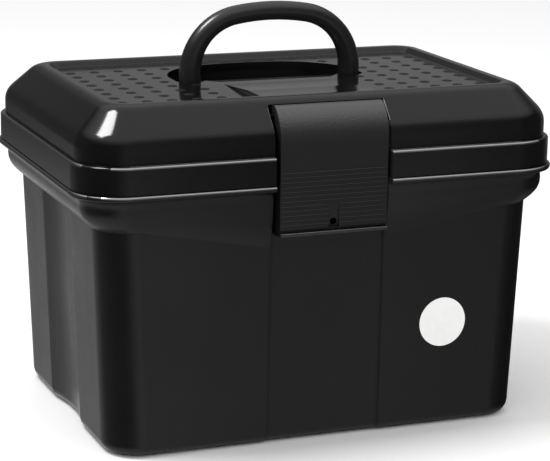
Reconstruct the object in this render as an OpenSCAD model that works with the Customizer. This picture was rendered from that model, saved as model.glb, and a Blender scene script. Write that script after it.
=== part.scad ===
// Lidded carrying box for horse grooming tools: a drafted tub, a domed lid on two rear hinges,
// a carrying handle that folds into a pocket of the lid, a front flip latch and a lift-out tray.
// X runs along the width, Y to the back and Z up. The origin is the middle of the base.

/* [Tub] */
// Width over the rolled lip
lip_w = 400; // [385:1:430]
// Depth over the rolled lip
lip_d = 280; // [270:1:300]
// Height of the tub up to the top of its lip
tub_h = 209; // [195:1:240]
// Wall thickness of the mouldings
wall = 2.6; // [2.2:0.1:3]
// Thickness of the tub's floor
floor_t = 3; // [2.4:0.1:5]
// Corner radius of the lower wall
corner_r = 29; // [25:1:33]
// Radius of the edge round the base
base_r = 9; // [6:0.5:12]
// Slope of each end wall, as run over the height of the lower wall
end_draft = 7.2; // [4:0.1:9]
// Slope of the front and back walls, as run over the height of the lower wall
face_draft = 1.8; // [0.6:0.1:3]
// How far the shoulder stands out over each end wall
end_overhang = 11; // [8:0.5:13]
// How far the shoulder stands out over the front and back walls
face_overhang = 5.8; // [4:0.1:7]
// Distance from the lip in to the face of the shoulder
shoulder_in = 8; // [6:0.5:9]
// Height from the lip down to the crease under the shoulder
shoulder_h = 31; // [28:0.5:36]
// Height of the curved part of the shoulder
shoulder_curve_h = 18; // [14:0.5:20]
// How far the crease falls from the corners to the front panel
vee_drop = 20; // [8:1:30]
// Height of the rolled lip
lip_h = 4.5; // [3.5:0.1:6]
// Height of the rim that stands up inside the lid
rim_h = 5; // [3:0.5:8]

/* [Front panel and end grooves] */
// Width of the sunk front panel, which runs up behind the latch
panel_w = 94; // [88:1:104]
// Depth of the front panel below the front wall
panel_deep = 1.8; // [1:0.1:2.4]
// Width of the groove down each end
groove_w = 76; // [60:1:90]
// Depth of the end grooves at their edges
groove_deep = 3.6; // [2.4:0.1:4.4]
// How much deeper the end grooves are along their middle
groove_sag = 1.5; // [0.6:0.1:2]

/* [Lid] */
// Height of the lid from the parting line to the rim
lid_h = 63; // [60:0.5:70]
// Height of the upright skirt
skirt_h = 21.4; // [18:0.2:23]
// Distance from the lip in to the face of the skirt
skirt_in = 1.8; // [1.2:0.1:2.4]
// Corner radius of the skirt
skirt_r = 40; // [37:1:44]
// Width of the ledge on top of the skirt
ledge_w = 3.5; // [2.5:0.1:4.5]
// Height of the upright band above the ledge
band_h = 17.6; // [15:0.2:20]
// Run of the lid's slope at the front and the ends
slope_run = 22.5; // [20:0.5:25]
// Run of the lid's slope at the back
back_run = 30; // [24:0.5:34]
// Radius between the upright band and the slope
band_r = 18; // [12:1:20]
// Radius between the slope and the rim
rim_r = 14; // [12:0.5:15]
// Width of the flat crest of the rim
rim_flat = 2.5; // [1.5:0.1:4]
// Depth of the top panel below the rim
top_drop = 4.3; // [3:0.1:5]

/* [Handle and its pocket] */
// Distance between the middles of the handle's legs
handle_span = 138; // [126:1:146]
// Height of the handle's middle line above its pivots
handle_rise = 61.4; // [56:0.2:66]
// Radius of the handle's shoulders along its middle line
handle_shoulder_r = 46; // [40:1:50]
// Radius of the handle's crown along its middle line
handle_crown_r = 181; // [150:1:220]
// Thickness of the handle at its crown
handle_grip_d = 15.4; // [13:0.2:17]
// Thickness of the handle at its feet
handle_foot_d = 18; // [17:0.2:19]
// Depth of the handle's pivots below the top panel
pivot_drop = 7.4; // [7:0.1:8.5]
// Diameter of the handle's pivot pins
handle_pin_d = 5; // [4:0.1:5.6]
// Room round the handle in its pocket
pocket_room = 2.5; // [2:0.1:3.5]
// Room under the folded handle
pocket_under = 1.2; // [0.8:0.1:2]
// Width of the ramp in front of the handle
ramp_w = 97; // [88:1:104]
// Distance from the pivots forward to the crease where the ramp levels out
ramp_front = 77; // [66:1:84]
// Distance from the pivots back to the rounded end of the ramp
ramp_back = 12; // [8:0.5:16]
// Fall of the ramp from its crease to its rounded end
ramp_fall = 6.9; // [6:0.1:7.4]

/* [Latch] */
// Width of the latch
latch_w = 88.6; // [80:0.2:90]
// Distance from the lip in to the face of the latch
latch_in = 2.8; // [2:0.1:4]
// Distance from the parting line down to the bottom edge of the latch
latch_drop = 40.5; // [35:0.5:45]
// Radius of the bend at the top of the latch
latch_bend_r = 31.7; // [29:0.1:33]
// Height above the parting line at which the bend starts
latch_bend_up = 33; // [31:0.2:34]
// Radius of the latch's rounded top about its pin
latch_end_r = 8.2; // [7.6:0.1:8.6]
// Skin thickness of the latch
latch_wall = 3; // [2.4:0.1:3.6]
// Number of finger ridges
ridge_count = 12; // [6:1:13]
// Spacing of the finger ridges
ridge_pitch = 3.7; // [3:0.1:4]
// Height of a finger ridge
ridge_h = 0.5; // [0.3:0.05:0.8]
// Diameter of the lock eye
eye_d = 5.5; // [4:0.1:6]
// Diameter of the latch pin
latch_pin_d = 3; // [2.4:0.1:3.2]

/* [Hinges] */
// Distance of each hinge from the middle
hinge_x = 110; // [80:1:125]
// Outer diameter of the knuckles
knuckle_d = 9.2; // [8:0.1:10]
// Length of the lid's knuckle
lid_knuckle = 22; // [16:1:30]
// Length of each of the tub's knuckles
tub_knuckle = 14; // [10:1:18]
// Diameter of the hinge pins
hinge_pin_d = 4; // [3:0.1:4.6]

/* [Tray] */
// Depth of the tray
tray_h = 56; // [40:1:70]
// Thickness of the tray's walls and dividers
tray_wall = 2; // [1.6:0.1:2.6]
// Share of the tray's depth that the long front compartment takes
tray_front_share = 0.46; // [0.35:0.01:0.6]
// Height of the lifting grip above the tray
grip_h = 24; // [20:0.5:28]
// Width of the lifting grip
grip_w = 96; // [70:1:120]

/* [Label] */
// Diameter of the blank name label
label_d = 40; // [30:1:50]
// Distance of the label from the middle
label_x = 101; // [90:1:115]
// Height of the label's middle
label_z = 86; // [60:1:110]
// Thickness of the label
label_t = 0.4; // [0.2:0.05:0.6]

/* [Clearances] */
// Gap between the lid and the tub's lip
seam = 0.4; // [0.3:0.05:0.6]
// Gap between the tub's rim and the inside of the lid
rim_room = 1.5; // [1:0.1:2]
// Radial clearance of a turning pin
turn_fit = 0.08; // [0.04:0.01:0.1]
// Radial clearance of a fixed pin
fixed_fit = 0.03; // [0.01:0.01:0.05]
// Gap between moving faces
run_gap = 0.5; // [0.4:0.05:0.7]
// Gap round the latch in its recess
latch_room = 1; // [0.8:0.1:1.4]
// Gap between the tray's flanges and their seat
seat_gap = 0.35; // [0.3:0.05:0.5]

/* [Hidden] */
$fn = 64;
corner_steps = 10;
curve_steps = 8;
overlap = 0.3;

// Colours
black_tub = [0.10, 0.10, 0.11];
black_lid = [0.07, 0.07, 0.08];
grey_tray = [0.22, 0.23, 0.25];
steel = [0.72, 0.73, 0.75];
paper = [0.96, 0.96, 0.95];

// Half sizes of the tub at its levels: the lip, the shoulder face and the waist at the crease
lip_a = lip_w / 2;
lip_b = lip_d / 2;
shoulder_a = lip_a - shoulder_in;
shoulder_b = lip_b - shoulder_in;
shoulder_bias = 1.8;
shoulder_corner = corner_r + 2;
lip_corner = shoulder_corner + shoulder_in;
lip_roll = 1.9;
waist_a = shoulder_a - end_overhang;
waist_b = shoulder_b - face_overhang;
crease_z = tub_h - shoulder_h;
curve_top_z = crease_z + shoulder_curve_h;
panel_half = panel_w / 2;
panel_edge = 1;
groove_edge = 3;
panel_u = waist_b - panel_deep;

// Levels and half sizes of the lid
skirt_a = lip_a - skirt_in;
skirt_b = lip_b - skirt_in;
lid_low = tub_h + seam;
ledge_z = lid_low + skirt_h;
band_a = skirt_a - ledge_w;
band_b = skirt_b - ledge_w;
band_corner = skirt_r - ledge_w;
skirt_edge = 2;
rim_z = lid_low + lid_h;
top_z = rim_z - top_drop;
ceiling_z = top_z - wall;
slope_low = ledge_z + band_h;
slope_angle = atan2(rim_z - slope_low, slope_run);
corner_shrink = 0.75;

// Where the slope's two rounded ends start and stop
band_reach = band_r * tan((90 - slope_angle) / 2);
rim_reach = rim_r * tan(slope_angle / 2);
band_arc_low = slope_low - band_reach;
band_arc_high = slope_low + band_reach * sin(slope_angle);
rim_arc_low = rim_z - rim_reach * sin(slope_angle);
crest_in = slope_run + rim_reach;

// Rim of the tub inside the lid
rim_a = skirt_a - wall - rim_room;
rim_b = skirt_b - wall - rim_room;
rim_t = 2.2;
rim_edge = 0.6;
rim_corner = skirt_r - wall - rim_room;

// Latch: its face, bend and pin, as distances forward of the middle and heights
latch_half = latch_w / 2;
latch_u = lip_b - latch_in;
latch_low = tub_h - latch_drop;
bend_u = latch_u - latch_bend_r;
bend_z = tub_h + latch_bend_up;
pin_angle = 48.8;
pin_u = bend_u + (latch_bend_r - latch_end_r) * cos(pin_angle);
pin_z = bend_z + (latch_bend_r - latch_end_r) * sin(pin_angle);
recess_r = latch_end_r + latch_room;
recess_side = 5;
no_recess = lip_d;
recess_u = panel_u - 0.4;
rim_u = recess_u - wall - rim_room;
flange_u = recess_u + 2;
grip_lip_h = 4;
grip_lip_out = 2;

// Where the recess comes out through the lid's slope
pin_deep = (slope_low + (band_b - pin_u) * tan(slope_angle) - pin_z) * cos(slope_angle);
recess_top_z = pin_z + pin_deep * cos(slope_angle)
    + sqrt(recess_r * recess_r - pin_deep * pin_deep) * sin(slope_angle);

// Catch on the tub and hook on the latch
catch_drop = 18;
catch_out = 3.6;
catch_z = tub_h - catch_drop;
catch_h = 5;
catch_w = 56;
catch_u = panel_u + catch_out;
hook_h = 3;
hook_w = 60;

// Hinges
hinge_y = lip_b + knuckle_d / 2 + run_gap;
hinge_z = tub_h + 4;
hinge_half = lid_knuckle / 2 + run_gap + tub_knuckle;

// Handle and pocket
span_half = handle_span / 2;
foot_r = handle_foot_d / 2;
grip_r = handle_grip_d / 2;
pivot_z = top_z - pivot_drop;
pocket_reach = foot_r + pocket_room;
pocket_floor = pivot_z - foot_r - pocket_under;
pocket_low = pocket_floor - wall;
handle_pin_r = handle_pin_d / 2;
boss_r = handle_pin_r + 2.2;
boss_l = 6;
ramp_half = ramp_w / 2;
ramp_crease_r = 60;
ramp_foot_r = 25;
flare_r = 20;
flare_tip_r = 8;
ramp_top = rim_z - 0.2;
ramp_end_y = handle_rise - pocket_reach - 4;
neck_y = -pocket_reach - 2;

// Tray
seat_share = 0.62;
seat_z = crease_z + shoulder_curve_h * seat_share;
flange_t = 2.6;
flange_a = waist_a - wall + end_overhang * shoulder_out(seat_share) - seat_gap;
tray_top = seat_z + flange_t;
tray_low = tray_top - tray_h;
tray_a = waist_a - end_draft * (1 - tray_low / crease_z) - wall - groove_deep - groove_sag - 1;
tray_b = rim_u - rim_t - 1;
tray_r = 12;
bay_r = tray_r - tray_wall;

function unit(v) = v / norm(v);
function ease(t) = (1 - cos(180 * t)) / 2;
function clamp(t) = min(1, max(0, t));

// Share of the shoulder's overhang at a share of its height: a tight hollow at the crease, then a full round
function shoulder_out(t) = ease(pow(t, 1 / shoulder_bias));

function arc(c, r, from, to, n) =
    [for (i = [0:n]) let (t = from + (to - from) * i / n) c + r * [cos(t), sin(t)]];
function mirrored(points) =
    [for (i = [len(points) - 1:-1:0]) [-points[i].x, points[i].y]];
function sorted(v) =
    len(v) == 0 ? [] : concat(
        sorted([for (x = v) if (x < v[0]) x]), [v[0]], sorted([for (x = v) if (x > v[0]) x]));

// Round the corner q between p and s with an arc of radius r
function fillet(p, q, s, r, n) =
    let (u = unit(p - q), w = unit(s - q), half = acos(u * w) / 2,
         c = q + unit(u + w) * r / sin(half),
         from = atan2((q + u * r / tan(half) - c).y, (q + u * r / tan(half) - c).x),
         to = atan2((q + w * r / tan(half) - c).y, (q + w * r / tan(half) - c).x),
         swing = to - from > 180 ? to - from - 360 : to - from < -180 ? to - from + 360 : to - from)
    arc(c, r, from, from + swing, n);

function rounded_box(a, b, r, n) = concat(
    arc([a - r, r - b], r, -90, 0, n), arc([a - r, b - r], r, 0, 90, n),
    arc([r - a, b - r], r, 90, 180, n), arc([r - a, r - b], r, 180, 270, n));

// Half of an end, from front to back: the wall, then the groove with its curved floor
function end_side(a, groove) = concat(
    [[a, -groove_w / 2 - groove_edge]],
    [for (s = [-1:0.5:1])
        [a - groove - (groove > 0 ? groove_sag * (1 - s * s) : 0), s * groove_w / 2]],
    [[a, groove_w / 2 + groove_edge]]);

// One closed level of the box: round corners, the sunk front panel and the two end grooves.
// notch is how far the panel lies behind the front face, and half is the panel's half width.
function level(a, front, back, r, half, notch, groove) = concat(
    [[-half - panel_edge, -front], [-half, notch - front],
     [half, notch - front], [half + panel_edge, -front]],
    arc([a - r, r - front], r, -90, 0, corner_steps),
    end_side(a, groove),
    arc([a - r, back - r], r, 0, 90, corner_steps),
    arc([r - a, back - r], r, 90, 180, corner_steps),
    mirrored(end_side(a, groove)),
    arc([r - a, r - front], r, 180, 270, corner_steps));

function at_height(points, z) = [for (p = points) [p.x, p.y, z]];
function middle(ring) = [for (k = [0:2]) [for (p = ring) p[k]] * [for (p = ring) 1] / len(ring)];

// Closed solid through a stack of rings that have equal numbers of points
module skin(rings) {
    n = len(rings[0]);
    last = len(rings) - 1;
    ends = n * (last + 1);
    sides = [for (k = [0:last - 1], i = [0:n - 1]) let (j = (i + 1) % n)
        each [[k * n + i, (k + 1) * n + i, (k + 1) * n + j], [k * n + i, (k + 1) * n + j, k * n + j]]];
    first_cap = [for (i = [0:n - 1]) [ends, i, (i + 1) % n]];
    last_cap = [for (i = [0:n - 1]) [ends + 1, last * n + (i + 1) % n, last * n + i]];
    polyhedron(
        points = concat([for (ring = rings) each ring], [middle(rings[0]), middle(rings[last])]),
        faces = concat(sides, first_cap, last_cap));
}

// Draw a profile of (y, z) points between two places along X
module along_x(from, to) {
    translate([from, 0, 0]) rotate([90, 0, 90]) linear_extrude(to - from) children();
}

module rod(from, to, y, z, r) {
    translate([from, y, z]) rotate([0, 90, 0]) cylinder(h = to - from, r = r);
}

// Tub

function low_a(z) = waist_a - end_draft * (1 - z / crease_z);
function low_b(z) = waist_b - face_draft * (1 - z / crease_z);

// Height of the crease at a point of the waist: level, but falling to the panel along the front
function crease_at(p) =
    p.y < 0 && abs(p.x) <= waist_a - corner_r + 0.01
        ? crease_z - vee_drop * (1 - clamp((abs(p.x) - panel_half) / (waist_a - corner_r - panel_half)))
        : crease_z;

// A level of the lower wall, drawn in by inset for the round base edge and by thick for the inside
function wall_ring(z, inset, thick) = at_height(
    level(low_a(z) - inset - thick, low_b(z) - inset - thick, low_b(z) - inset - thick,
          corner_r - inset - thick, panel_half + thick, panel_deep, groove_deep), z);

// A level of the shoulder: t is its share of the height from the crease to the upright face
function shoulder_ring(t, thick) =
    let (out = shoulder_out(t), b = waist_b + face_overhang * out - thick,
         flat = level(waist_a + end_overhang * out - thick, b, b, corner_r - thick, panel_half + thick,
                      b - panel_u + thick, t > 0 ? 0 : groove_deep))
    [for (p = flat) let (z = crease_at(p))
        [p.x, p.y + (1 - t) * (p.y < 0 ? waist_b - low_b(z) : 0), z + t * (curve_top_z - z)]];

// A level above the shoulder, with the panel's floor at u
function top_ring(a, b, r, half, u, z) = at_height(level(a, b, b, r, half, b - u, 0), z);

// A level of the rolled lip, drawn in by inset
function lip_ring(inset, z) =
    top_ring(lip_a - inset, lip_b - inset, lip_corner - inset, panel_half, panel_u, z);

function base_round(thick) = [for (i = [0:4]) let (t = 22.5 * i, r = base_r - thick)
    wall_ring((thick > 0 ? floor_t : 0) + r * (1 - cos(t)), r * (1 - sin(t)), thick)];
function shoulder_rings(thick) =
    [for (i = [0:curve_steps]) shoulder_ring(pow(i / curve_steps, shoulder_bias), thick)];

module tub_shell() {
    rim_half = panel_half + recess_side + rim_room;
    lip_low = tub_h - lip_h;
    lip_under = [for (t = [60, 30, 0]) lip_ring(lip_roll * (1 - cos(t)), lip_low + lip_roll * (1 - sin(t)))];
    lip_over = [for (t = [0:22.5:90]) lip_ring(lip_roll * (1 - cos(t)), tub_h - lip_roll * (1 - sin(t)))];
    rim = [for (p = [[0, -rim_h], [0, -rim_edge], [rim_edge, 0], [rim_t - rim_edge, 0], [rim_t, -rim_edge]])
        let (z = tub_h + rim_h + p[1])
        top_ring(rim_a - p[0], rim_b - p[0], rim_corner - p[0], rim_half, rim_u - p[0], z)];
    outside = concat(base_round(0), shoulder_rings(0), [
        top_ring(shoulder_a, shoulder_b, shoulder_corner, panel_half, panel_u, lip_low - lip_roll / 2)],
        lip_under, lip_over);
    inside = concat(
        [top_ring(shoulder_a - wall, shoulder_b - wall, shoulder_corner - wall, rim_half, rim_u - rim_t,
                  lip_low)],
        [for (i = [curve_steps:-1:0]) shoulder_rings(wall)[i]],
        [for (i = [4:-1:0]) base_round(wall)[i]]);
    skin(concat(outside, rim, inside));
}

// Where the tub's knuckles lie along one hinge
function tub_knuckles() = [
    [-hinge_half, -lid_knuckle / 2 - run_gap], [lid_knuckle / 2 + run_gap, hinge_half]];

module tub() color(black_tub) {
    gusset = [[lip_b - 4, tub_h - lip_h + 0.5], [hinge_y + knuckle_d * 0.32, hinge_z - knuckle_d * 0.38],
              [hinge_y - knuckle_d * 0.42, hinge_z - 1], [lip_b - 1, tub_h - 0.8]];
    difference() {
        union() {
            tub_shell();
            translate([-catch_w / 2, -catch_u, catch_z])
                cube([catch_w, catch_u - panel_u + wall / 2, catch_h]);
            for (side = [-1, 1], k = tub_knuckles()) {
                rod(side * hinge_x + k[0], side * hinge_x + k[1], hinge_y, hinge_z, knuckle_d / 2);
                along_x(side * hinge_x + k[0], side * hinge_x + k[1]) polygon(gusset);
            }
        }
        for (side = [-1, 1])
            rod(side * hinge_x - hinge_half - 1, side * hinge_x + hinge_half + 1, hinge_y, hinge_z,
                hinge_pin_d / 2 + fixed_fit);
    }
}

// Lid

// How far the lid's outside lies in from its upright band at a height
function slope_in(z) =
    z <= band_arc_low ? 0
    : z < band_arc_high ? band_r - sqrt(max(0, pow(band_r, 2) - pow(z - band_arc_low, 2)))
    : z <= rim_arc_low ? (z - slope_low) / tan(slope_angle)
    : crest_in - sqrt(max(0, pow(rim_r, 2) - pow(z - rim_z + rim_r, 2)));

// The same distance at the back, where the slope is longer
function back_in(d) = min(d, crest_in) * back_run / slope_run + max(0, d - crest_in);

// Floor of the latch recess at a height: round the pin, then level with the tub's panel
function recess_floor(z, r) =
    z > pin_z ? pin_u - sqrt(max(0, r * r - pow(z - pin_z, 2)))
    : z > pin_z - r ? pin_u - r
    : recess_u - (r - recess_r);

// A level of the lid, d in from the upright band
function lid_ring(d, z, half, u) =
    let (front = band_b - d)
    at_height(level(band_a - d, front, band_b - back_in(d), band_corner - corner_shrink * d,
                    half, max(0, front - u), 0), z);

module lid_shell() {
    arc_z = [for (i = [0:curve_steps]) band_arc_low + (band_arc_high - band_arc_low) * i / curve_steps];
    recess_z = [for (t = [0:12:48]) let (z = pin_z + recess_r * sin(t)) if (z < recess_top_z - 0.4) z];
    step_z = [pin_z - recess_r - 0.8, pin_z - recess_r + 0.01];
    dome_z = sorted(concat([ledge_z + 0.1], arc_z, step_z, recess_z, [recess_top_z]));
    dome = [for (z = dome_z)
        let (floor_u = z < recess_top_z - 0.01 ? recess_floor(z, recess_r) : no_recess)
        lid_ring(slope_in(z), z, panel_half, floor_u)];
    crest = [for (i = [1:curve_steps])
        let (t = slope_angle * (1 - i / curve_steps), z = rim_z - rim_r * (1 - cos(t)))
        lid_ring(crest_in - rim_r * sin(t), z, panel_half, no_recess)];
    rim_fall = [[0, 0], [1.4, -0.5], [top_drop, 0.6 - top_drop], [top_drop + 1.6, -top_drop]];
    top = [for (p = rim_fall) lid_ring(crest_in + rim_flat + p[0], rim_z + p[1], panel_half, no_recess)];
    skirt_round = [for (t = [0:22.5:90]) skirt_edge * [1 - cos(t), sin(t) - 1]];
    skirt = [for (p = concat([[0, lid_low - ledge_z]], skirt_round))
        lid_ring(p[0] - ledge_w, ledge_z + p[1], panel_half, recess_u)];
    lean = wall / sin(slope_angle);
    ceiling_step = 15;
    inner_half = panel_half + recess_side;
    inner_slope_low = slope_low + wall * tan(slope_angle) - wall / cos(slope_angle);
    inner_r = recess_r + wall;
    inner_step = pin_z - inner_r;
    inner_z = sorted([inner_slope_low, inner_step - 0.8, inner_step + 0.01, pin_z, ceiling_z]);
    inner_dome = [for (z = inner_z)
        lid_ring(z <= inner_slope_low ? wall : (z - slope_low) / tan(slope_angle) + lean, z, inner_half,
                 recess_floor(z, inner_r))];
    inner_skirt = [
        lid_ring(wall, ledge_z - wall + 0.3, inner_half, recess_u - wall),
        lid_ring(wall - ledge_w, ledge_z - wall, inner_half, recess_u - wall),
        lid_ring(wall - ledge_w, lid_low, inner_half, recess_u - wall)];
    ceiling_in = (ceiling_z - slope_low) / tan(slope_angle) + lean + ceiling_step;
    ceiling = lid_ring(ceiling_in, ceiling_z, inner_half, no_recess);
    inside = concat([ceiling], [for (i = [len(inner_dome) - 1:-1:0]) inner_dome[i]], inner_skirt);
    skin(concat(inside, skirt, dome, crest, top));
}

// Half outline of the folded handle's middle line moved outwards by off, from the right foot over the back
function arch(off) =
    let (crown_y = handle_rise - handle_crown_r, dx = span_half - handle_shoulder_r,
         shoulder_y = crown_y + sqrt(pow(handle_crown_r - handle_shoulder_r, 2) - dx * dx),
         t = atan2(shoulder_y - crown_y, dx),
         half = concat([[span_half + off, 0]],
                       arc([dx, shoulder_y], handle_shoulder_r + off, 0, t, 2 * curve_steps),
                       [for (i = [1:3]) [0, crown_y] + (handle_crown_r + off)
                           * [cos(t + (90 - t) * i / 4), sin(t + (90 - t) * i / 4)]]))
    concat(half, [[0, handle_rise + off]], mirrored(half));

// Round front of the pocket about one foot of the handle
function foot_cap(side, r, from, to) = arc([side * span_half, 0], r, from, to, 2 * curve_steps);

// Plan of the pocket: the folded handle's room, all inside the arch, and the neck of the ramp
module pocket_plan(extra) {
    r = pocket_reach + extra;
    gap = extra > 0 ? 35 : 15;
    neck = [ramp_half - overlap + extra, neck_y - extra];
    polygon(concat(
        foot_cap(1, r, 180 + gap, 350), arch(r), foot_cap(-1, r, 190, 360 - gap), [[-neck.x, neck.y], neck]));
}

// Plan of the ramp: straight in front, flared to the feet, and round inside the folded handle
module ramp_plan(inset) {
    inner = span_half - pocket_reach - inset;
    side = ramp_half - inset;
    flare_y = -2.2 * pocket_reach;
    flare = concat(
        fillet([side, -ramp_front], [side, flare_y], [inner, -pocket_reach / 2], flare_r, curve_steps),
        fillet([side, flare_y], [inner, -pocket_reach / 2], [inner, 0], flare_tip_r, curve_steps));
    right = concat([[side, crest_in + rim_flat - band_b]], flare);
    polygon(concat(right, arch(-pocket_reach - inset), mirrored(right)));
}

// Everything under the ramp's surface, or under it by drop, down to low
module under_ramp(drop, low) {
    crest_y = crest_in + rim_flat - band_b - 1;
    crease = [-ramp_front, ramp_top];
    ramp_foot = [ramp_back, ramp_top - ramp_fall];
    sink = unit([ramp_end_y, pocket_floor] - ramp_foot);
    top = concat(
        [[crest_y, ramp_top]],
        fillet([crest_y, ramp_top], crease, ramp_foot, ramp_crease_r, curve_steps),
        fillet(crease, ramp_foot, [ramp_end_y, pocket_floor], ramp_foot_r, curve_steps),
        [[ramp_end_y, pocket_floor] + sink]);
    along_x(-span_half, span_half)
        polygon(concat([for (p = top) [p.x, p.y - drop]], [[ramp_end_y + sink.x, low], [crest_y, low]]));
}

module ramp() {
    intersection() {
        translate([0, 0, pocket_low]) linear_extrude(rim_z - pocket_low) ramp_plan(0);
        under_ramp(0, pocket_low + overlap);
        union() {
            translate([-span_half, -lip_b, ceiling_z + overlap]) cube([2 * span_half, lip_b, lid_h]);
            translate([-span_half, neck_y - overlap, pocket_low]) cube([2 * span_half, lip_b, lid_h]);
        }
    }
}

module ramp_hollow() {
    intersection() {
        translate([0, 0, pocket_low - 1]) linear_extrude(rim_z - pocket_low) ramp_plan(wall);
        under_ramp(wall, pocket_low - 1);
        translate([-span_half, neck_y + wall, pocket_low - 1]) cube([2 * span_half, lip_b, lid_h]);
    }
}

module handle_bosses(side) {
    length = wall + boss_l - overlap;
    outer = span_half + pocket_reach + overlap;
    inner = span_half - pocket_reach - overlap;
    rod(side > 0 ? outer : -outer - length, side > 0 ? outer + length : -outer, 0, pivot_z, boss_r);
    rod(side > 0 ? inner - length : -inner, side > 0 ? inner : length - inner, 0, pivot_z, boss_r);
}

module lid() color(black_lid) {
    web = [[skirt_b - wall / 2, hinge_z - knuckle_d * 0.28], [hinge_y, hinge_z - knuckle_d * 0.28],
           [hinge_y, hinge_z + knuckle_d * 0.4], [skirt_b - wall / 2, hinge_z + knuckle_d * 0.6]];
    bore = pocket_reach + wall + boss_l + 1;
    latch_bore = panel_half + recess_side + 1;
    difference() {
        union() {
            difference() {
                union() {
                    lid_shell();
                    translate([0, 0, pocket_low]) linear_extrude(top_z - 1 - pocket_low) pocket_plan(wall);
                }
                translate([0, 0, pocket_floor]) linear_extrude(rim_z) pocket_plan(0);
            }
            ramp();
            for (side = [-1, 1]) {
                from = side * hinge_x - lid_knuckle / 2;
                along_x(from, from + lid_knuckle) polygon(web);
                rod(from, from + lid_knuckle, hinge_y, hinge_z, knuckle_d / 2);
            }
            intersection() {
                for (side = [-1, 1]) handle_bosses(side);
                translate([-lip_a, -lip_b, pocket_low]) cube([lip_w, lip_d, top_z - 0.5 - pocket_low]);
            }
        }
        difference() {
            ramp_hollow();
            for (side = [-1, 1]) handle_bosses(side);
        }
        for (side = [-1, 1]) {
            rod(side * hinge_x - lid_knuckle, side * hinge_x + lid_knuckle, hinge_y, hinge_z,
                hinge_pin_d / 2 + turn_fit);
            rod(side * span_half - bore, side * span_half + bore, 0, pivot_z, handle_pin_r + fixed_fit);
        }
        rod(-latch_bore, latch_bore, -pin_u, pin_z, latch_pin_d / 2 + fixed_fit);
    }
}

// Handle

handle_sides = 20;
function handle_radius(s) = foot_r + (grip_r - foot_r) * ease(clamp(s / handle_rise));
function handle_ring(p, tangent, r) = [for (i = [0:handle_sides - 1])
    let (t = 360 * i / handle_sides, out = r * cos(t))
    [p.x + tangent.y * out, r * sin(t), pivot_z + p.y - tangent.x * out]];

// Rings along the handle: hemispherical feet, then the tube, which thins towards the crown
module handle() color(black_lid) {
    path = arch(0);
    last = len(path) - 1;
    feet = [for (t = [75:-25:25]) [foot_r * sin(t), foot_r * cos(t)]];
    right_foot = [for (f = feet) handle_ring([span_half, -f[0]], [0, 1], f[1])];
    left_foot = [for (i = [len(feet) - 1:-1:0]) handle_ring([-span_half, -feet[i][0]], [0, -1], feet[i][1])];
    tube = [for (i = [0:last])
        let (tangent = i == 0 ? [0, 1] : i == last ? [0, -1] : unit(path[i + 1] - path[i - 1]))
        handle_ring(path[i], tangent, handle_radius(path[i].y))];
    difference() {
        skin(concat(right_foot, tube, left_foot));
        for (side = [-1, 1])
            rod(side * span_half - handle_foot_d, side * span_half + handle_foot_d, 0, pivot_z,
                handle_pin_r + turn_fit);
    }
}

module handle_pin(side) color(steel) {
    reach = pocket_reach + wall + boss_l;
    rod(side * span_half - reach, side * span_half + reach, 0, pivot_z, handle_pin_r);
}

// Latch

// Outline of the latch's side: grip lip, face, bend, round top about the pin, and back edge
module latch_side(thick) {
    face = latch_u - thick;
    low = latch_low + thick;
    lip = thick > 0 ? [[face, low]] : [
        [latch_u + grip_lip_out, latch_low + 0.8], [latch_u + grip_lip_out, latch_low + grip_lip_h - 1],
        [latch_u, latch_low + grip_lip_h]];
    bend = arc([bend_u, bend_z], latch_bend_r - thick, 0, pin_angle, 2 * curve_steps);
    end = arc([pin_u, pin_z], latch_end_r - thick, pin_angle + 10, 180, curve_steps);
    back_u = thick > 0 ? flange_u - 1 : flange_u;
    outline = concat([[back_u, low]], lip, bend, end, [[back_u, pin_z - recess_r + latch_room]]);
    polygon([for (p = outline) [-p.x, p.y]]);
}

module latch() color(black_lid) {
    inner = latch_half - latch_wall;
    slot_low = latch_low + grip_lip_h + 2;
    slot_w = 8.7;
    slot_h = 18;
    eye_z = slot_low + eye_d / 2 + 1.2;
    lip_groove = [0.9, 1.6];
    difference() {
        union() {
            difference() {
                along_x(-latch_half, latch_half) latch_side(0);
                along_x(-inner, inner) latch_side(latch_wall);
            }
            translate([-hook_w / 2, -latch_u + latch_wall / 2, catch_z - run_gap - hook_h])
                cube([hook_w, latch_u - latch_wall / 2 - catch_u - run_gap, hook_h]);
            for (i = [0:ridge_count - 1])
                along_x(-latch_half + 1, latch_half - 1)
                    translate([-latch_u, slot_low + 3 + i * ridge_pitch])
                        polygon([[0.5, -0.6], [-ridge_h, 0], [0.5, 0.6]]);
        }
        along_x(-slot_w / 2, slot_w / 2)
            polygon([[-latch_u - 2, slot_low], [-latch_u + latch_wall / 2, slot_low],
                     [-latch_u, slot_low + slot_h], [-latch_u - 2, slot_low + slot_h]]);
        translate([-latch_half - 1, -latch_u - 1, latch_low + grip_lip_h])
            cube([latch_w + 2, 1 + lip_groove.x, lip_groove.y]);
        translate([0, -latch_u - 3, eye_z]) rotate([-90, 0, 0]) cylinder(h = latch_wall + 4, d = eye_d);
        rod(-latch_half - 1, latch_half + 1, -pin_u, pin_z, latch_pin_d / 2 + turn_fit);
    }
}

module latch_pin() color(steel) {
    reach = panel_half + recess_side - run_gap;
    rod(-reach, reach, -pin_u, pin_z, latch_pin_d / 2);
}

// Hinge pins

module hinge_pin(side) color(steel) {
    rod(side * hinge_x - hinge_half, side * hinge_x + hinge_half, hinge_y, hinge_z, hinge_pin_d / 2);
}

// Tray: one long compartment in front, two behind, end flanges and a lifting grip on the divider

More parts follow.
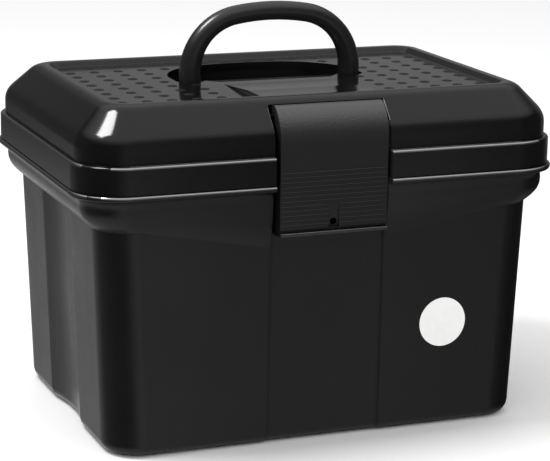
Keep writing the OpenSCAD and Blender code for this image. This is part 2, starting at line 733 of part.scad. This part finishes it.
module tray() color(grey_tray) {
    bay_a = tray_a - tray_wall;
    bay_d = 2 * (tray_b - tray_wall) - tray_wall;
    front_d = bay_d * tray_front_share;
    divider_y = tray_wall - tray_b + front_d;
    back_a = (bay_a - tray_wall / 2) / 2;
    back_d = bay_d - front_d;
    back_y = divider_y + tray_wall + back_d / 2;
    slot = [grip_w / 2 - 12, 6.5];
    difference() {
        union() {
            translate([0, 0, tray_low]) linear_extrude(tray_h)
                polygon(rounded_box(tray_a, tray_b, tray_r, curve_steps));
            translate([0, 0, seat_z]) linear_extrude(flange_t)
                polygon(rounded_box(flange_a, tray_b - 12, tray_r, curve_steps));
            translate([-grip_w / 2, divider_y, tray_top - 1]) cube([grip_w, tray_wall, grip_h + 1]);
        }
        translate([0, divider_y - front_d / 2, tray_low + tray_wall]) linear_extrude(tray_h)
            polygon(rounded_box(bay_a, front_d / 2, bay_r, curve_steps));
        for (side = [-1, 1])
            translate([side * (back_a + tray_wall / 2), back_y, tray_low + tray_wall]) linear_extrude(tray_h)
                polygon(rounded_box(back_a, back_d / 2, bay_r, curve_steps));
        translate([0, divider_y - 1, tray_top + grip_h - slot.y - 5])
            rotate([-90, 0, 0]) linear_extrude(tray_wall + 2)
                polygon(rounded_box(slot.x, slot.y, slot.y - 1, curve_steps));
    }
}

// Blank round name label on the front wall

module name_label() color(paper) {
    lean = atan2(face_draft, crease_z);
    translate([label_x, -low_b(label_z), label_z]) rotate([90 + lean, 0, 0]) translate([0, 0, 0.02])
        cylinder(h = label_t, d = label_d);
}

tub();
lid();
handle();
handle_pin(-1);  // handle_pin_left
handle_pin(1);  // handle_pin_right
latch();
latch_pin();
hinge_pin(-1);  // hinge_pin_left
hinge_pin(1);  // hinge_pin_right
tray();
name_label();
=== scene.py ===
import math

import bmesh
import bpy
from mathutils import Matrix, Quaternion, Vector


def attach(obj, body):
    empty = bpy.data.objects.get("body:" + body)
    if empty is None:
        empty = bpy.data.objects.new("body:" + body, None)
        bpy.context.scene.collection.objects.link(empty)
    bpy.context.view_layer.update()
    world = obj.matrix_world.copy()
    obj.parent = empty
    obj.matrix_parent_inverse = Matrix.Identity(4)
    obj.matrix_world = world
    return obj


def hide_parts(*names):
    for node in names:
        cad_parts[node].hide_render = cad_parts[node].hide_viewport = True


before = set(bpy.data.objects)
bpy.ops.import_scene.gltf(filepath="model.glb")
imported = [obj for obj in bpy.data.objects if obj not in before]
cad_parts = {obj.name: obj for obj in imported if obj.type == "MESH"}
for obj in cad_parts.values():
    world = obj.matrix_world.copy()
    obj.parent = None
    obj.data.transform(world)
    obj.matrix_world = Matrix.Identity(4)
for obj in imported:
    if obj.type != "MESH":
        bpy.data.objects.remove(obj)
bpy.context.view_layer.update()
MM = 0.001
scene = bpy.context.scene


# Camera

# The camera stands to the front left, a little above the lid, with a long lens.
CAMERA_AZIMUTH = math.radians(21.72)
CAMERA_HEIGHT = math.radians(13.81)
CAMERA_ROLL = math.radians(0.87)
CAMERA_DISTANCE = 1744.86 * MM
CAMERA_TARGET = Vector((6.38, 0, 138.65)) * MM
FOCAL_PIXELS = 2105.58
IMAGE_WIDTH = 550
SENSOR_WIDTH = 36
FARTHEST = 50


def place_camera():
    """Sets the camera where the photograph's stood, fitted to the edges of the box."""
    back = Vector((-math.sin(CAMERA_AZIMUTH) * math.cos(CAMERA_HEIGHT),
                   -math.cos(CAMERA_AZIMUTH) * math.cos(CAMERA_HEIGHT),
                   math.sin(CAMERA_HEIGHT)))
    data = bpy.data.cameras.new("photo_camera")
    data.sensor_width = SENSOR_WIDTH
    data.lens = FOCAL_PIXELS * SENSOR_WIDTH / IMAGE_WIDTH
    data.clip_end = FARTHEST
    camera = bpy.data.objects.new("photo_camera", data)
    camera.location = CAMERA_TARGET + back * CAMERA_DISTANCE
    camera.rotation_mode = "QUATERNION"
    camera.rotation_quaternion = Quaternion(back, CAMERA_ROLL) @ back.to_track_quat("Z", "Y")
    scene.collection.objects.link(camera)
    scene.camera = camera


# Materials

def linear(hex_colour):
    """An sRGB hex colour as linear red, green, blue and alpha."""
    channels = [int(hex_colour[i:i + 2], 16) / 255 for i in (1, 3, 5)]
    return [c / 12.92 if c <= 0.04045 else ((c + 0.055) / 1.055) ** 2.4 for c in channels] + [1]


def add_node(tree, kind, settings=None, **links):
    """Adds a node: settings go on its sockets or its attributes, links come from other nodes' outputs."""
    node = tree.nodes.new(kind)
    for key, value in (settings or {}).items():
        if key in node.inputs:
            node.inputs[key].default_value = value
        else:
            setattr(node, key, value)
    for key, output in links.items():
        tree.links.new(output, node.inputs[key.replace("_", " ")])
    return node


def new_material(name):
    material = bpy.data.materials.new(name)
    material.use_nodes = True
    tree = material.node_tree
    tree.nodes.clear()
    shader = add_node(tree, "ShaderNodeBsdfPrincipled")
    add_node(tree, "ShaderNodeOutputMaterial", Surface=shader.outputs["BSDF"])
    where = add_node(tree, "ShaderNodeTexCoord").outputs["Object"]
    return material, tree, shader, where


# The size of the marks that flowing plastic leaves, and the part of their noise that shows
FLOW_MARK, FLOW_LOW, FLOW_HIGH = 60 * MM, 0.3, 0.7
# Painted shade in gaps and inner corners: how far it reaches round them, how open a place is where the gloss starts
# and where it is full, and the full gloss
SHADE_PAINT_REACH, SHADE_PAINT_SHUT, SHADE_PAINT_OPEN, FULL_GLOSS = 4 * MM, 0.35, 0.95, 0.5
EDGE_SAMPLES = 6


def moulded_plastic(name, colour, rough, rough_spread, grain_mm, grain_height_mm, index, edge_mm):
    """Injection-moulded polypropylene: the mould's finish sets the gloss, with its grain and soft flow marks;
    gaps and inner corners get painted shade: ambient occlusion dims their reflection. The real grain is
    finer than the render can show, so it is drawn as coarse as it needs to be to show."""
    material, tree, shader, where = new_material(name)
    shader.inputs["Base Color"].default_value = linear(colour)
    shader.inputs["IOR"].default_value = index
    flow = add_node(tree, "ShaderNodeTexNoise", {"Scale": 1 / FLOW_MARK, "Detail": 3.0}, Vector=where)
    gloss = add_node(tree, "ShaderNodeMapRange",
                     {"From Min": FLOW_LOW, "From Max": FLOW_HIGH,
                      "To Min": rough - rough_spread, "To Max": rough + rough_spread}, Value=flow.outputs["Fac"])
    grain = add_node(tree, "ShaderNodeTexNoise", {"Scale": 1 / (grain_mm * MM), "Detail": 2.0}, Vector=where)
    edge = add_node(tree, "ShaderNodeBevel", {"samples": EDGE_SAMPLES, "Radius": edge_mm * MM})
    bump = add_node(tree, "ShaderNodeBump", {"Distance": grain_height_mm * MM, "Strength": 1.0},
                    Height=grain.outputs["Fac"], Normal=edge.outputs["Normal"])
    facing = add_node(tree, "ShaderNodeNewGeometry")
    # Painted shade: ambient occlusion lowers the specular level in gaps and inner corners, which darkens them.
    painted_shade_ao = add_node(tree, "ShaderNodeAmbientOcclusion", {"samples": EDGE_SAMPLES, "Distance": SHADE_PAINT_REACH},
                        Normal=facing.outputs["True Normal"])
    shade = add_node(tree, "ShaderNodeMapRange",
                     {"From Min": SHADE_PAINT_SHUT, "From Max": SHADE_PAINT_OPEN, "To Max": FULL_GLOSS},
                     Value=painted_shade_ao.outputs["AO"])
    tree.links.new(gloss.outputs["Result"], shader.inputs["Roughness"])
    tree.links.new(bump.outputs["Normal"], shader.inputs["Normal"])
    tree.links.new(shade.outputs["Result"], shader.inputs["Specular IOR Level"])
    return material


# Polished mould: clear, sharp reflections on the lid.
lid_gloss = moulded_plastic("polypropylene_polished_mould", "#0b0b0c", rough=0.13, rough_spread=0.03,
                            grain_mm=1.6, grain_height_mm=0.003, index=1.49, edge_mm=0.5)
# Worn smooth by the hand: the handle is a little duller than the lid.
handle_gloss = moulded_plastic("polypropylene_hand_worn", "#1e1e1f", rough=0.24, rough_spread=0.04,
                               grain_mm=1.2, grain_height_mm=0.004, index=1.62, edge_mm=0.5)
# Painted highlight on the rolled edges: a far brighter reflection, so they draw light lines round the box.
edge_highlight_paint = moulded_plastic("polypropylene_painted_edge_highlight", "#0c0c0d", rough=0.18, rough_spread=0.02,
                               grain_mm=1.6, grain_height_mm=0.002, index=5.5, edge_mm=0.8)
# Painted highlight on the finger ridges and the grip lip: a little brighter than the latch's grain, so they show as
# light lines.
ridge_highlight_paint = moulded_plastic("polypropylene_painted_ridge_highlight", "#1c1c1d", rough=0.4, rough_spread=0.04,
                            grain_mm=1.2, grain_height_mm=0.02, index=2.0, edge_mm=0.1)
# Fine satin mould: the tub blurs its reflections and its corners shade softly.
tub_satin = moulded_plastic("polypropylene_satin_mould", "#0d0d0e", rough=0.28, rough_spread=0.04,
                            grain_mm=0.8, grain_height_mm=0.016, index=1.62, edge_mm=0.3)
# Sandblasted mould: the latch sparkles in a fine grain where it faces the light.
latch_grain = moulded_plastic("polypropylene_sandblasted_mould", "#161617", rough=0.42, rough_spread=0.04,
                              grain_mm=1.2, grain_height_mm=0.26, index=1.58, edge_mm=0.1)


def paint_highlight_by_height(material, low_mm, high_mm, index):
    """Raises the reflection with height: a painted highlight that makes the upper part brighter."""
    tree = material.node_tree
    shader = next(node for node in tree.nodes if node.type == "BSDF_PRINCIPLED")
    where = add_node(tree, "ShaderNodeTexCoord").outputs["Object"]
    height = add_node(tree, "ShaderNodeSeparateXYZ", Vector=where)
    painted_highlight = add_node(tree, "ShaderNodeMapRange",
                      {"interpolation_type": "SMOOTHSTEP", "From Min": low_mm * MM, "From Max": high_mm * MM,
                       "To Min": shader.inputs["IOR"].default_value, "To Max": index}, Value=height.outputs["Z"])
    tree.links.new(painted_highlight.outputs["Result"], shader.inputs["IOR"])


# Painted highlight: the latch's reflection grows brighter towards its top bend.
paint_highlight_by_height(latch_grain, low_mm=238, high_mm=262, index=2.2)
# The same sandblasting, finer, on the dots of the lid's top panel.
dot_grain = moulded_plastic("polypropylene_sandblasted_dots", "#0a0a0b", rough=0.5, rough_spread=0.04,
                            grain_mm=0.7, grain_height_mm=0.03, index=1.3, edge_mm=0.2)
# Plain mould for an inside part: dull grey, with little reflection.
tray_matte = moulded_plastic("polypropylene_matte_mould", "#2b2c2f", rough=0.5, rough_spread=0.05,
                             grain_mm=0.7, grain_height_mm=0.02, index=1.45, edge_mm=0.5)


# The lines that drawing leaves along a pin, and how much their gloss varies
PIN_LINE_LONG, PIN_LINE_WIDE = 50 * MM, MM / 0.9
PIN_SMOOTH, PIN_ROUGH = 0.2, 0.42


def drawn_steel():
    """Drawn wire, blackened: dark, with long fine lines along the pin."""
    material, tree, shader, where = new_material("steel_drawn_blackened")
    shader.inputs["Base Color"].default_value = linear("#1d1d20")
    shader.inputs["Metallic"].default_value = 1
    along, across = 1 / PIN_LINE_LONG, 1 / PIN_LINE_WIDE
    squeeze = add_node(tree, "ShaderNodeMapping", {"Scale": (along, across, across)}, Vector=where)
    lines = add_node(tree, "ShaderNodeTexNoise", {"Scale": 1.0, "Detail": 2.0}, Vector=squeeze.outputs["Vector"])
    gloss = add_node(tree, "ShaderNodeMapRange", {"To Min": PIN_SMOOTH, "To Max": PIN_ROUGH},
                     Value=lines.outputs["Fac"])
    tree.links.new(gloss.outputs["Result"], shader.inputs["Roughness"])
    return material


EGGSHELL = 4 * MM


def white_vinyl():
    """Calendered vinyl sticker: white, with a faint eggshell."""
    material, tree, shader, where = new_material("vinyl_sticker_white")
    shader.inputs["Roughness"].default_value = 0.4
    mottle = add_node(tree, "ShaderNodeTexNoise", {"Scale": 1 / EGGSHELL, "Detail": 3.0}, Vector=where)
    shade = add_node(tree, "ShaderNodeMix", {"data_type": "RGBA"}, Factor=mottle.outputs["Fac"])
    shade.inputs["A"].default_value = linear("#f3f3f1")
    shade.inputs["B"].default_value = linear("#fcfcfb")
    tree.links.new(shade.outputs["Result"], shader.inputs["Base Color"])
    return material


pin_steel = drawn_steel()
label_vinyl = white_vinyl()

NODE_MATERIALS = {"tub": tub_satin, "lid": lid_gloss, "handle": handle_gloss, "latch": latch_grain,
                  "tray": tray_matte, "name_label": label_vinyl, "latch_pin": pin_steel,
                  "handle_pin_left": pin_steel, "handle_pin_right": pin_steel,
                  "hinge_pin_left": pin_steel, "hinge_pin_right": pin_steel}
for name, material in NODE_MATERIALS.items():
    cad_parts[name].data.materials.clear()
    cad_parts[name].data.materials.append(material)


# Mouldings

# Edges that get a painted highlight, a far brighter reflection that draws light lines: their node, the heights in
# mm that they lie between, how far their faces look up, and their finish
PAINTED_HIGHLIGHT_EDGES = (("lid", 228.8, 230.9, 0.15, edge_highlight_paint), ("tub", 206.9, 209.05, 0.15, edge_highlight_paint),
                ("latch", 168.4, 173.2, -0.3, ridge_highlight_paint), ("latch", 168.6, 173.2, 0.15, edge_highlight_paint),
                ("latch", 176, 220, 0.15, ridge_highlight_paint))
# They lie farther out than this, sideways or to the front and back.
HIGHLIGHT_SIDE, HIGHLIGHT_FRONT = 193 * MM, 133 * MM


def paint_edge_highlights(node, mesh):
    """Paints a highlight on the upper faces of the node's outer edges: they take a far brighter finish."""
    for owner, low, high, upward, finish in PAINTED_HIGHLIGHT_EDGES:
        if owner == node:
            mesh.materials.append(finish)
            for face in mesh.polygons:
                x, y, z = (abs(v) for v in face.center)
                outside = x > HIGHLIGHT_SIDE or y > HIGHLIGHT_FRONT
                if outside and low * MM < z < high * MM and face.normal.z > upward:
                    face.material_index = len(mesh.materials) - 1


# The end grooves: half widths over the edges and of the CAD's floor, depths at the floor's edge and in the
# middle, how far in they reach along X, and the height at which they end
GROOVE_EDGE, GROOVE_FLOOR = 41.0 * MM, 38.0 * MM
GROOVE_SIDE, GROOVE_DEEP = 3.6 * MM, 5.1 * MM
GROOVE_IN, GROOVE_TOP = 150 * MM, 178.1 * MM
NEAR_ENOUGH = 0.1 * MM


def in_end_groove(place):
    return (abs(place.x) > GROOVE_IN and abs(place.y) < GROOVE_EDGE + NEAR_ENOUGH
            and place.z < GROOVE_TOP)


def hollow_end_grooves(bm):
    """Draws each end groove as one even hollow from edge to edge, not as the CAD's floor with steep sides."""
    for vert in bm.verts:
        if in_end_groove(vert.co) and abs(vert.co.y) < GROOVE_FLOOR + NEAR_ENOUGH:
            floor = GROOVE_DEEP - (GROOVE_DEEP - GROOVE_SIDE) * (vert.co.y / GROOVE_FLOOR) ** 2
            hollow = GROOVE_DEEP * (1 - (vert.co.y / GROOVE_EDGE) ** 2)
            vert.co.x += math.copysign(floor - hollow, vert.co.x)


def crisp_groove_edges(mesh):
    """Keeps the edges of the end grooves sharp, though the hollow meets them at a low angle."""
    on_edge = {vert.index for vert in mesh.vertices
               if in_end_groove(vert.co) and abs(vert.co.y) > GROOVE_EDGE - NEAR_ENOUGH}
    for edge in mesh.edges:
        if on_edge.issuperset(edge.vertices):
            edge.use_edge_sharp = True


# The lid's edges beside the latch, on the slope: how far out and forward they lie, the heights between which
# they run, and their round; and what tells them from other edges, and their upper faces from the walls below
RECESS_SIDE, RECESS_FRONT = 48 * MM, -115 * MM
RECESS_LOW, RECESS_HIGH, RECESS_ROUND = 253.5 * MM, 267.8 * MM, 0.5 * MM
RECESS_CORNER, RECESS_UPWARD = math.radians(60), 0.15


def on_recess_edge(place, reach):
    return (abs(abs(place.x) - RECESS_SIDE) < reach and place.y < RECESS_FRONT
            and RECESS_LOW < place.z < RECESS_HIGH)


def round_recess_edges(bm):
    """Rounds the edges of the slope beside the latch, which glint on the side that faces the light."""
    sides = [edge for edge in bm.edges if edge.is_convex and edge.calc_face_angle(0) > RECESS_CORNER
             and all(on_recess_edge(vert.co, NEAR_ENOUGH) for vert in edge.verts)]
    bmesh.ops.bevel(bm, geom=sides, offset=RECESS_ROUND, offset_type="OFFSET", segments=3, profile=0.5,
                    affect="EDGES", clamp_overlap=False)


def paint_recess_edge_highlights(mesh):
    """Paints a highlight on the upper faces of the rounded edges beside the latch, with the bright finish of the
    other edges.
    """
    mesh.materials.append(edge_highlight_paint)
    for face in mesh.polygons:
        if on_recess_edge(face.center, RECESS_ROUND) and face.normal.z > RECESS_UPWARD:
            face.material_index = len(mesh.materials) - 1


# Points closer than this are one, edges shorter than this have no length, and faces within this angle are flat.
SAME_POINT, NO_LENGTH, FLAT_ANGLE = 2e-6, 1e-6, math.radians(0.2)


def smooth_moulding(node, body, material, soft_angle):
    """The node's own surface with its points joined, flat faces whole, and round faces shaded round."""
    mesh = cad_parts[node].data.copy()
    mesh.name = node + "_moulding"
    bm = bmesh.new()
    bm.from_mesh(mesh)
    bmesh.ops.remove_doubles(bm, verts=bm.verts, dist=SAME_POINT)
    bmesh.ops.dissolve_degenerate(bm, edges=bm.edges, dist=NO_LENGTH)
    bmesh.ops.dissolve_limit(bm, angle_limit=FLAT_ANGLE, verts=bm.verts, edges=bm.edges)
    if node == "tub":
        hollow_end_grooves(bm)
    if node == "lid":
        round_recess_edges(bm)
    bm.to_mesh(mesh)
    bm.free()
    mesh.materials.clear()
    mesh.materials.append(material)
    paint_edge_highlights(node, mesh)
    if node == "lid":
        paint_recess_edge_highlights(mesh)
    mesh.shade_smooth()
    mesh.set_sharp_from_angle(angle=math.radians(soft_angle))
    if node == "tub":
        crisp_groove_edges(mesh)
    piece = bpy.data.objects.new(node + "_moulding", mesh)
    scene.collection.objects.link(piece)
    even = piece.modifiers.new("even_normals", "WEIGHTED_NORMAL")
    even.mode = "FACE_AREA"
    even.weight = 50
    even.keep_sharp = True
    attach(piece, body)
    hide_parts(node)


# Each moulding, its body, and the angle in degrees up to which its edges are shaded round
MOULDINGS = (("tub", "tub_body", 48), ("lid", "lid_body", 40), ("handle", "handle_body", 40),
             ("latch", "latch_body", 18), ("tray", "tray_body", 35))
for node, body, soft_angle in MOULDINGS:
    smooth_moulding(node, body, NODE_MATERIALS[node], soft_angle)


# Dots on the lid's top panel

# The panel's height and the grid of its dots, in mm, with the room that they leave beside the pocket
PANEL_TOP = 268.1
DOT_COLUMNS, DOT_ROWS = 16, 9
DOT_STEP_X, DOT_STEP_Y = 20.12, 19.7
DOT_MARGIN = 6
# Each dot is a low disc with a sloping edge.
DOT_DIAMETER, DOT_HEIGHT, DOT_EDGE, DOT_CORNERS = 8.4 * MM, 0.24 * MM, 0.5 * MM, 28
# The pocket lies round the folded handle, whose middle line is an arch of two shoulders and a crown, in mm.
POCKET_REACH, RAMP_HALF, SPAN_HALF = 11.5, 48.5, 69.0
HANDLE_RISE, SHOULDER_R, CROWN_R = 61.4, 46.0, 181.0


def clear_of_pocket(x, y, margin):
    """Whether a point of the panel lies outside the handle's pocket and the ramp in front of it."""
    x, reach = abs(x), POCKET_REACH + margin
    if y < 0:
        return x > RAMP_HALF + margin and math.hypot(x - SPAN_HALF, y) > reach
    crown_y = HANDLE_RISE - CROWN_R
    shoulder_x = SPAN_HALF - SHOULDER_R
    shoulder_y = crown_y + math.sqrt((CROWN_R - SHOULDER_R) ** 2 - shoulder_x ** 2)
    if x > SPAN_HALF + reach:
        return True
    if x * (shoulder_y - crown_y) > (y - crown_y) * shoulder_x:
        return y > shoulder_y and math.hypot(x - shoulder_x, y - shoulder_y) > SHOULDER_R + reach
    return math.hypot(x, y - crown_y) > CROWN_R + reach


def dot_places():
    """The middles of the dots: a grid on the panel, but for the pocket and the ramp."""
    places = []
    for i in range(DOT_COLUMNS):
        for j in range(DOT_ROWS):
            x = (i - (DOT_COLUMNS - 1) / 2) * DOT_STEP_X
            y = (j - (DOT_ROWS - 1) / 2) * DOT_STEP_Y
            if clear_of_pocket(x, y, DOT_MARGIN):
                places.append(Vector((x, y, PANEL_TOP)) * MM)
    return places


def dot_tree():
    """Sets a low disc with a sloping edge on every point."""
    tree = bpy.data.node_groups.new("panel_dots", "GeometryNodeTree")
    tree.interface.new_socket("Geometry", in_out="INPUT", socket_type="NodeSocketGeometry")
    for name in ("Dot diameter", "Dot height", "Dot edge"):
        tree.interface.new_socket(name, in_out="INPUT", socket_type="NodeSocketFloat")
    tree.interface.new_socket("Finish", in_out="INPUT", socket_type="NodeSocketMaterial")
    tree.interface.new_socket("Geometry", in_out="OUTPUT", socket_type="NodeSocketGeometry")
    given = add_node(tree, "NodeGroupInput").outputs
    radius = add_node(tree, "ShaderNodeMath", {"operation": "MULTIPLY"})
    tree.links.new(given["Dot diameter"], radius.inputs[0])
    radius.inputs[1].default_value = 0.5
    top = add_node(tree, "ShaderNodeMath", {"operation": "SUBTRACT"})
    tree.links.new(radius.outputs[0], top.inputs[0])
    tree.links.new(given["Dot edge"], top.inputs[1])
    disc = add_node(tree, "GeometryNodeMeshCone", {"Vertices": DOT_CORNERS}, Radius_Bottom=radius.outputs[0],
                    Radius_Top=top.outputs[0], Depth=given["Dot height"])
    points = add_node(tree, "GeometryNodeMeshToPoints", Mesh=given["Geometry"])
    discs = add_node(tree, "GeometryNodeInstanceOnPoints", Points=points.outputs["Points"],
                     Instance=disc.outputs["Mesh"])
    solid = add_node(tree, "GeometryNodeRealizeInstances", Geometry=discs.outputs["Instances"])
    finish = add_node(tree, "GeometryNodeSetMaterial", Geometry=solid.outputs["Geometry"],
                      Material=given["Finish"])
    add_node(tree, "NodeGroupOutput", Geometry=finish.outputs["Geometry"])
    return tree


def panel_dots():
    """Grows the dots on their places and keeps them as one plain mesh on the lid."""
    mesh = bpy.data.meshes.new("panel_dot_places")
    mesh.from_pydata(dot_places(), [], [])
    seeds = bpy.data.objects.new("panel_dot_places", mesh)
    scene.collection.objects.link(seeds)
    tree = dot_tree()
    grow = seeds.modifiers.new("panel_dots", "NODES")
    grow.node_group = tree
    sockets = {item.name: item.identifier for item in tree.interface.items_tree if item.in_out == "INPUT"}
    for name, value in (("Dot diameter", DOT_DIAMETER), ("Dot height", DOT_HEIGHT), ("Dot edge", DOT_EDGE),
                        ("Finish", dot_grain)):
        grow[sockets[name]] = value
    view = bpy.context.evaluated_depsgraph_get()
    solid = bpy.data.meshes.new_from_object(seeds.evaluated_get(view))
    bpy.data.objects.remove(seeds)
    solid.name = "lid_panel_dots"
    piece = bpy.data.objects.new("lid_panel_dots", solid)
    scene.collection.objects.link(piece)
    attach(piece, "lid_body")


panel_dots()


# Floor and light

FLOOR_HALF, FLOOR_LEVEL = 6, -0.5 * MM


def pale_floor():
    """Pale paper without any shine, which the box's gloss does not see."""
    mesh = bpy.data.meshes.new("floor")
    corners = [(x * FLOOR_HALF, y * FLOOR_HALF, FLOOR_LEVEL) for x, y in ((-1, -1), (1, -1), (1, 1), (-1, 1))]
    mesh.from_pydata(corners, [], [(0, 1, 2, 3)])
    floor = bpy.data.objects.new("floor", mesh)
    scene.collection.objects.link(floor)
    material, _, shader, _ = new_material("floor_pale_paper")
    shader.inputs["Base Color"].default_value = linear("#fbfbfb")
    shader.inputs["Roughness"].default_value = 0.9
    shader.inputs["Specular IOR Level"].default_value = 0
    mesh.materials.append(material)
    floor.visible_glossy = False


def soft_light(name, place, aim, size, brightness, glints):
    """A rectangular soft lamp; brightness is what its face shows, so its power follows from its size. One
    without glints lights the box but is not seen in its gloss."""
    data = bpy.data.lights.new(name, "AREA")
    data.shape = "RECTANGLE"
    data.size, data.size_y = size
    data.energy = brightness * math.pi * size[0] * size[1]
    light = bpy.data.objects.new(name, data)
    light.location = place
    light.rotation_mode = "QUATERNION"
    light.rotation_quaternion = (Vector(place) - Vector(aim)).to_track_quat("Z", "Y")
    light.visible_glossy = glints
    scene.collection.objects.link(light)


# What the gloss sees round the box: shares of a turn, from the back over the left, front and right, and the
# brightness there
FLOOR_ROUND = ((0, 0.9), (0.02, 0.62), (0.045, 0.47), (0.08, 0.4), (0.12, 0.35), (0.17, 0.16),
               (0.308, 0.06), (0.375, 0.04), (0.422, 0.07), (0.472, 0.3), (0.514, 0.52), (0.544, 0.48),
               (0.578, 0.27), (0.625, 0.1), (0.694, 0.02), (0.92, 0.02), (0.97, 1.1), (1, 0.9))
WALL_ROUND = ((0, 0.2), (0.061, 0.08), (0.19, 0.1), (0.308, 0.07), (0.422, 0.1), (0.514, 0.26), (0.544, 0.26),
              (0.578, 0.14), (0.625, 0.08), (0.778, 0.05), (0.86, 0.2), (0.939, 0.36), (1, 0.2))
# The floor close by, paler on the left than on the right, the ceiling, and the room as all but the gloss sees it
NEAR_LEFT, NEAR_RIGHT, CEILING, ROOM_WHITE = 0.46, 0.24, 1.05, 1.1
# Where one turns into the next: how far sideways a ray points at the near floor, and how far up at the others
NEAR_TURN = (0.2, 0.42)
NEAR_TO_FAR, FLOOR_TO_WALL, WALL_TO_CEILING = (-0.75, -0.4), (-0.26, -0.17), (0.38, 0.85)


def studio_sky():
    """White all round, but the gloss sees a studio: its floor, near and far, its walls and a bright ceiling."""
    world = bpy.data.worlds.new("studio")
    scene.world = world
    world.use_nodes = True
    world.cycles.sampling_method = "NONE"
    tree = world.node_tree
    tree.nodes.clear()
    looking = add_node(tree, "ShaderNodeTexCoord")
    way = add_node(tree, "ShaderNodeSeparateXYZ", Vector=looking.outputs["Generated"])
    ahead = add_node(tree, "ShaderNodeMath", {"operation": "MULTIPLY"})
    tree.links.new(way.outputs["Y"], ahead.inputs[0])
    ahead.inputs[1].default_value = -1
    angle = add_node(tree, "ShaderNodeMath", {"operation": "ARCTAN2"})
    tree.links.new(way.outputs["X"], angle.inputs[0])
    tree.links.new(ahead.outputs["Value"], angle.inputs[1])
    turn = add_node(tree, "ShaderNodeMapRange", {"From Min": -math.pi, "From Max": math.pi},
                    Value=angle.outputs["Value"])
    rounds = []
    for stops in (FLOOR_ROUND, WALL_ROUND):
        ramp = add_node(tree, "ShaderNodeValToRGB", Fac=turn.outputs["Result"])
        ramp.color_ramp.interpolation = "EASE"
        while len(ramp.color_ramp.elements) < len(stops):
            ramp.color_ramp.elements.new(0.5)
        for element, (place, shade) in zip(ramp.color_ramp.elements, stops):
            element.position = place
            element.color = (shade, shade, shade, 1)
        rounds.append(ramp.outputs["Color"])
    rises = []
    for low, high in (NEAR_TO_FAR, FLOOR_TO_WALL, WALL_TO_CEILING):
        rise = add_node(tree, "ShaderNodeMapRange",
                        {"interpolation_type": "SMOOTHSTEP", "From Min": low, "From Max": high},
                        Value=way.outputs["Z"])
        rises.append(rise.outputs["Result"])
    near = add_node(tree, "ShaderNodeMapRange",
                    {"From Min": NEAR_TURN[0], "From Max": NEAR_TURN[1], "To Min": NEAR_LEFT, "To Max": NEAR_RIGHT},
                    Value=way.outputs["X"])
    floor = add_node(tree, "ShaderNodeMix", Factor=rises[0], A=near.outputs["Result"], B=rounds[0])
    sides = add_node(tree, "ShaderNodeMix", Factor=rises[1], A=floor.outputs["Result"], B=rounds[1])
    room = add_node(tree, "ShaderNodeMix", {"B": CEILING}, Factor=rises[2], A=sides.outputs["Result"])
    ray = add_node(tree, "ShaderNodeLightPath")
    seen = add_node(tree, "ShaderNodeMix", {"A": ROOM_WHITE}, B=room.outputs["Result"],
                    Factor=ray.outputs["Is Glossy Ray"])
    sky = add_node(tree, "ShaderNodeBackground", Strength=seen.outputs["Result"])
    add_node(tree, "ShaderNodeOutputWorld", Surface=sky.outputs["Background"])


place_camera()
pale_floor()
soft_light("top_lamp", place=(0.4, 1.1, 2.0), aim=(0, 0, 0.2), size=(1.4, 0.8), brightness=1.2,
           glints=False)
soft_light("left_lamp", place=(-0.88, 0.1, 1.8), aim=(-0.1, 0, 0.25), size=(0.52, 0.6), brightness=21,
           glints=True)
studio_sky()
scene.view_settings.view_transform = "Standard"
